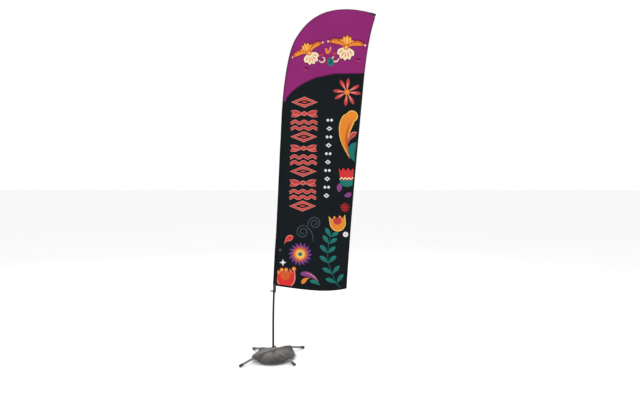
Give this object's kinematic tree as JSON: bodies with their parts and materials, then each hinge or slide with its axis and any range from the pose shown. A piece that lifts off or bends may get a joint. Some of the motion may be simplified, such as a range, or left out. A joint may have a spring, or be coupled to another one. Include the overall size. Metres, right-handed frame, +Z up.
{
  "type": "feather flag with pole",
  "caption": "Tall double-sided feather flag on a curved four-piece pole that turns on a folding cross base under a ring-shaped water bag.",
  "frame": {"origin": "bottom centre of the object's bounding box, on the ground", "axes": "+Z up; the cloth lies in the XZ plane with its free edge towards +X; the pole's foot is at x = -0.3716, y = 0"},
  "size_m": [1.3756, 0.598, 3.5874],
  "materials": {
    "pole_alloy": "satin",
    "pole_fibre": "satin",
    "steel": "satin",
    "zinc": "satin",
    "leg_paint": "satin",
    "rubber": "matte",
    "plastic": "satin",
    "webbing": "matte",
    "print": "matte",
    "lining": "matte",
    "bag": "satin",
    "bag_trim": "satin"
  },
  "bodies": {
    "base": {"upper_leg_bar": "leg_paint", "foot_front_left": "rubber", "foot_back_right": "rubber", "saddle_bracket": "zinc", "bearing_housing": "zinc", "bearing_outer_ring": "steel", "pivot_bolt": "steel", "bar_spacer": "plastic", "pivot_washer": "steel", "pivot_nut": "steel"},
    "lower_bar": {"lower_leg_bar": "leg_paint", "foot_front_right": "rubber", "foot_back_left": "rubber"},
    "ball_cage": {"bearing_ball_cage": "steel"},
    "spindle": {"spindle_pin": "steel", "bearing_inner_ring": "steel"},
    "mast": {"pole_base_section": "pole_alloy", "pole_mid_section": "pole_alloy", "pole_upper_section": "pole_fibre", "pole_tip_section": "pole_fibre", "pole_bottom_bush": "plastic", "pole_guide_bush": "plastic", "ferrule_lower": "zinc", "ferrule_middle": "zinc", "ferrule_upper": "zinc", "pole_tip_cap": "rubber", "flag_front_panel": "print", "flag_liner": "lining", "flag_back_panel": "print", "pole_sleeve": "print", "tip_pocket": "webbing", "fly_hem": "print", "bottom_hem": "print", "tether_strap": "webbing"},
    "clip": {"clip_collar": "plastic", "lever_pin": "steel"},
    "lever": {"clip_lever": "plastic"},
    "bag": {"water_bag": "bag", "bag_seam": "bag_trim", "bag_tab": "bag_trim", "filler_neck": "plastic"},
    "cap": {"filler_cap": "plastic", "cap_gasket": "rubber"}
  },
  "joints": [
    {"name": "spindle_spin", "type": "hinge", "parent": "base", "child": "spindle", "pos_m": [-0.37161, 0, 0.095], "axis": [0, 0, 1], "continuous": true},
    {"name": "cage_spin", "type": "hinge", "parent": "base", "child": "ball_cage", "pos_m": [-0.37161, 0, 0.095], "axis": [0, 0, 1], "continuous": true},
    {"name": "pole_lift", "type": "slide", "parent": "spindle", "child": "mast", "axis": [0, 0, 1], "range_m": [0, 0.28]},
    {"name": "clip_slide", "type": "slide", "parent": "mast", "child": "clip", "axis": [0.0379, 0, 0.9993], "range_m": [0, 0.035]},
    {"name": "lever_flip", "type": "hinge", "parent": "clip", "child": "lever", "pos_m": [-0.38448, 0, 0.68478], "axis": [0, 1, 0], "range_deg": [0, 80]},
    {"name": "bag_lift", "type": "slide", "parent": "base", "child": "bag", "axis": [0, 0, 1], "range_m": [0, 0.3]},
    {"name": "base_fold", "type": "hinge", "parent": "base", "child": "lower_bar", "pos_m": [-0.37161, 0, 0.042], "axis": [0, 0, 1], "range_deg": [0, 82]},
    {"name": "cap_turn", "type": "hinge", "parent": "bag", "child": "cap", "pos_m": [-0.37161, 0.19034, 0.0429], "axis": [0, 0.5583, 0.8296], "range_deg": [0, 720]}
  ],
  "couplings": [
    {"joint": "cage_spin", "follows": "spindle_spin", "ratio": 0.4255},
    {"joint": "base_fold", "follows": "bag_lift", "rad_per_m": 4.77}
  ]
}
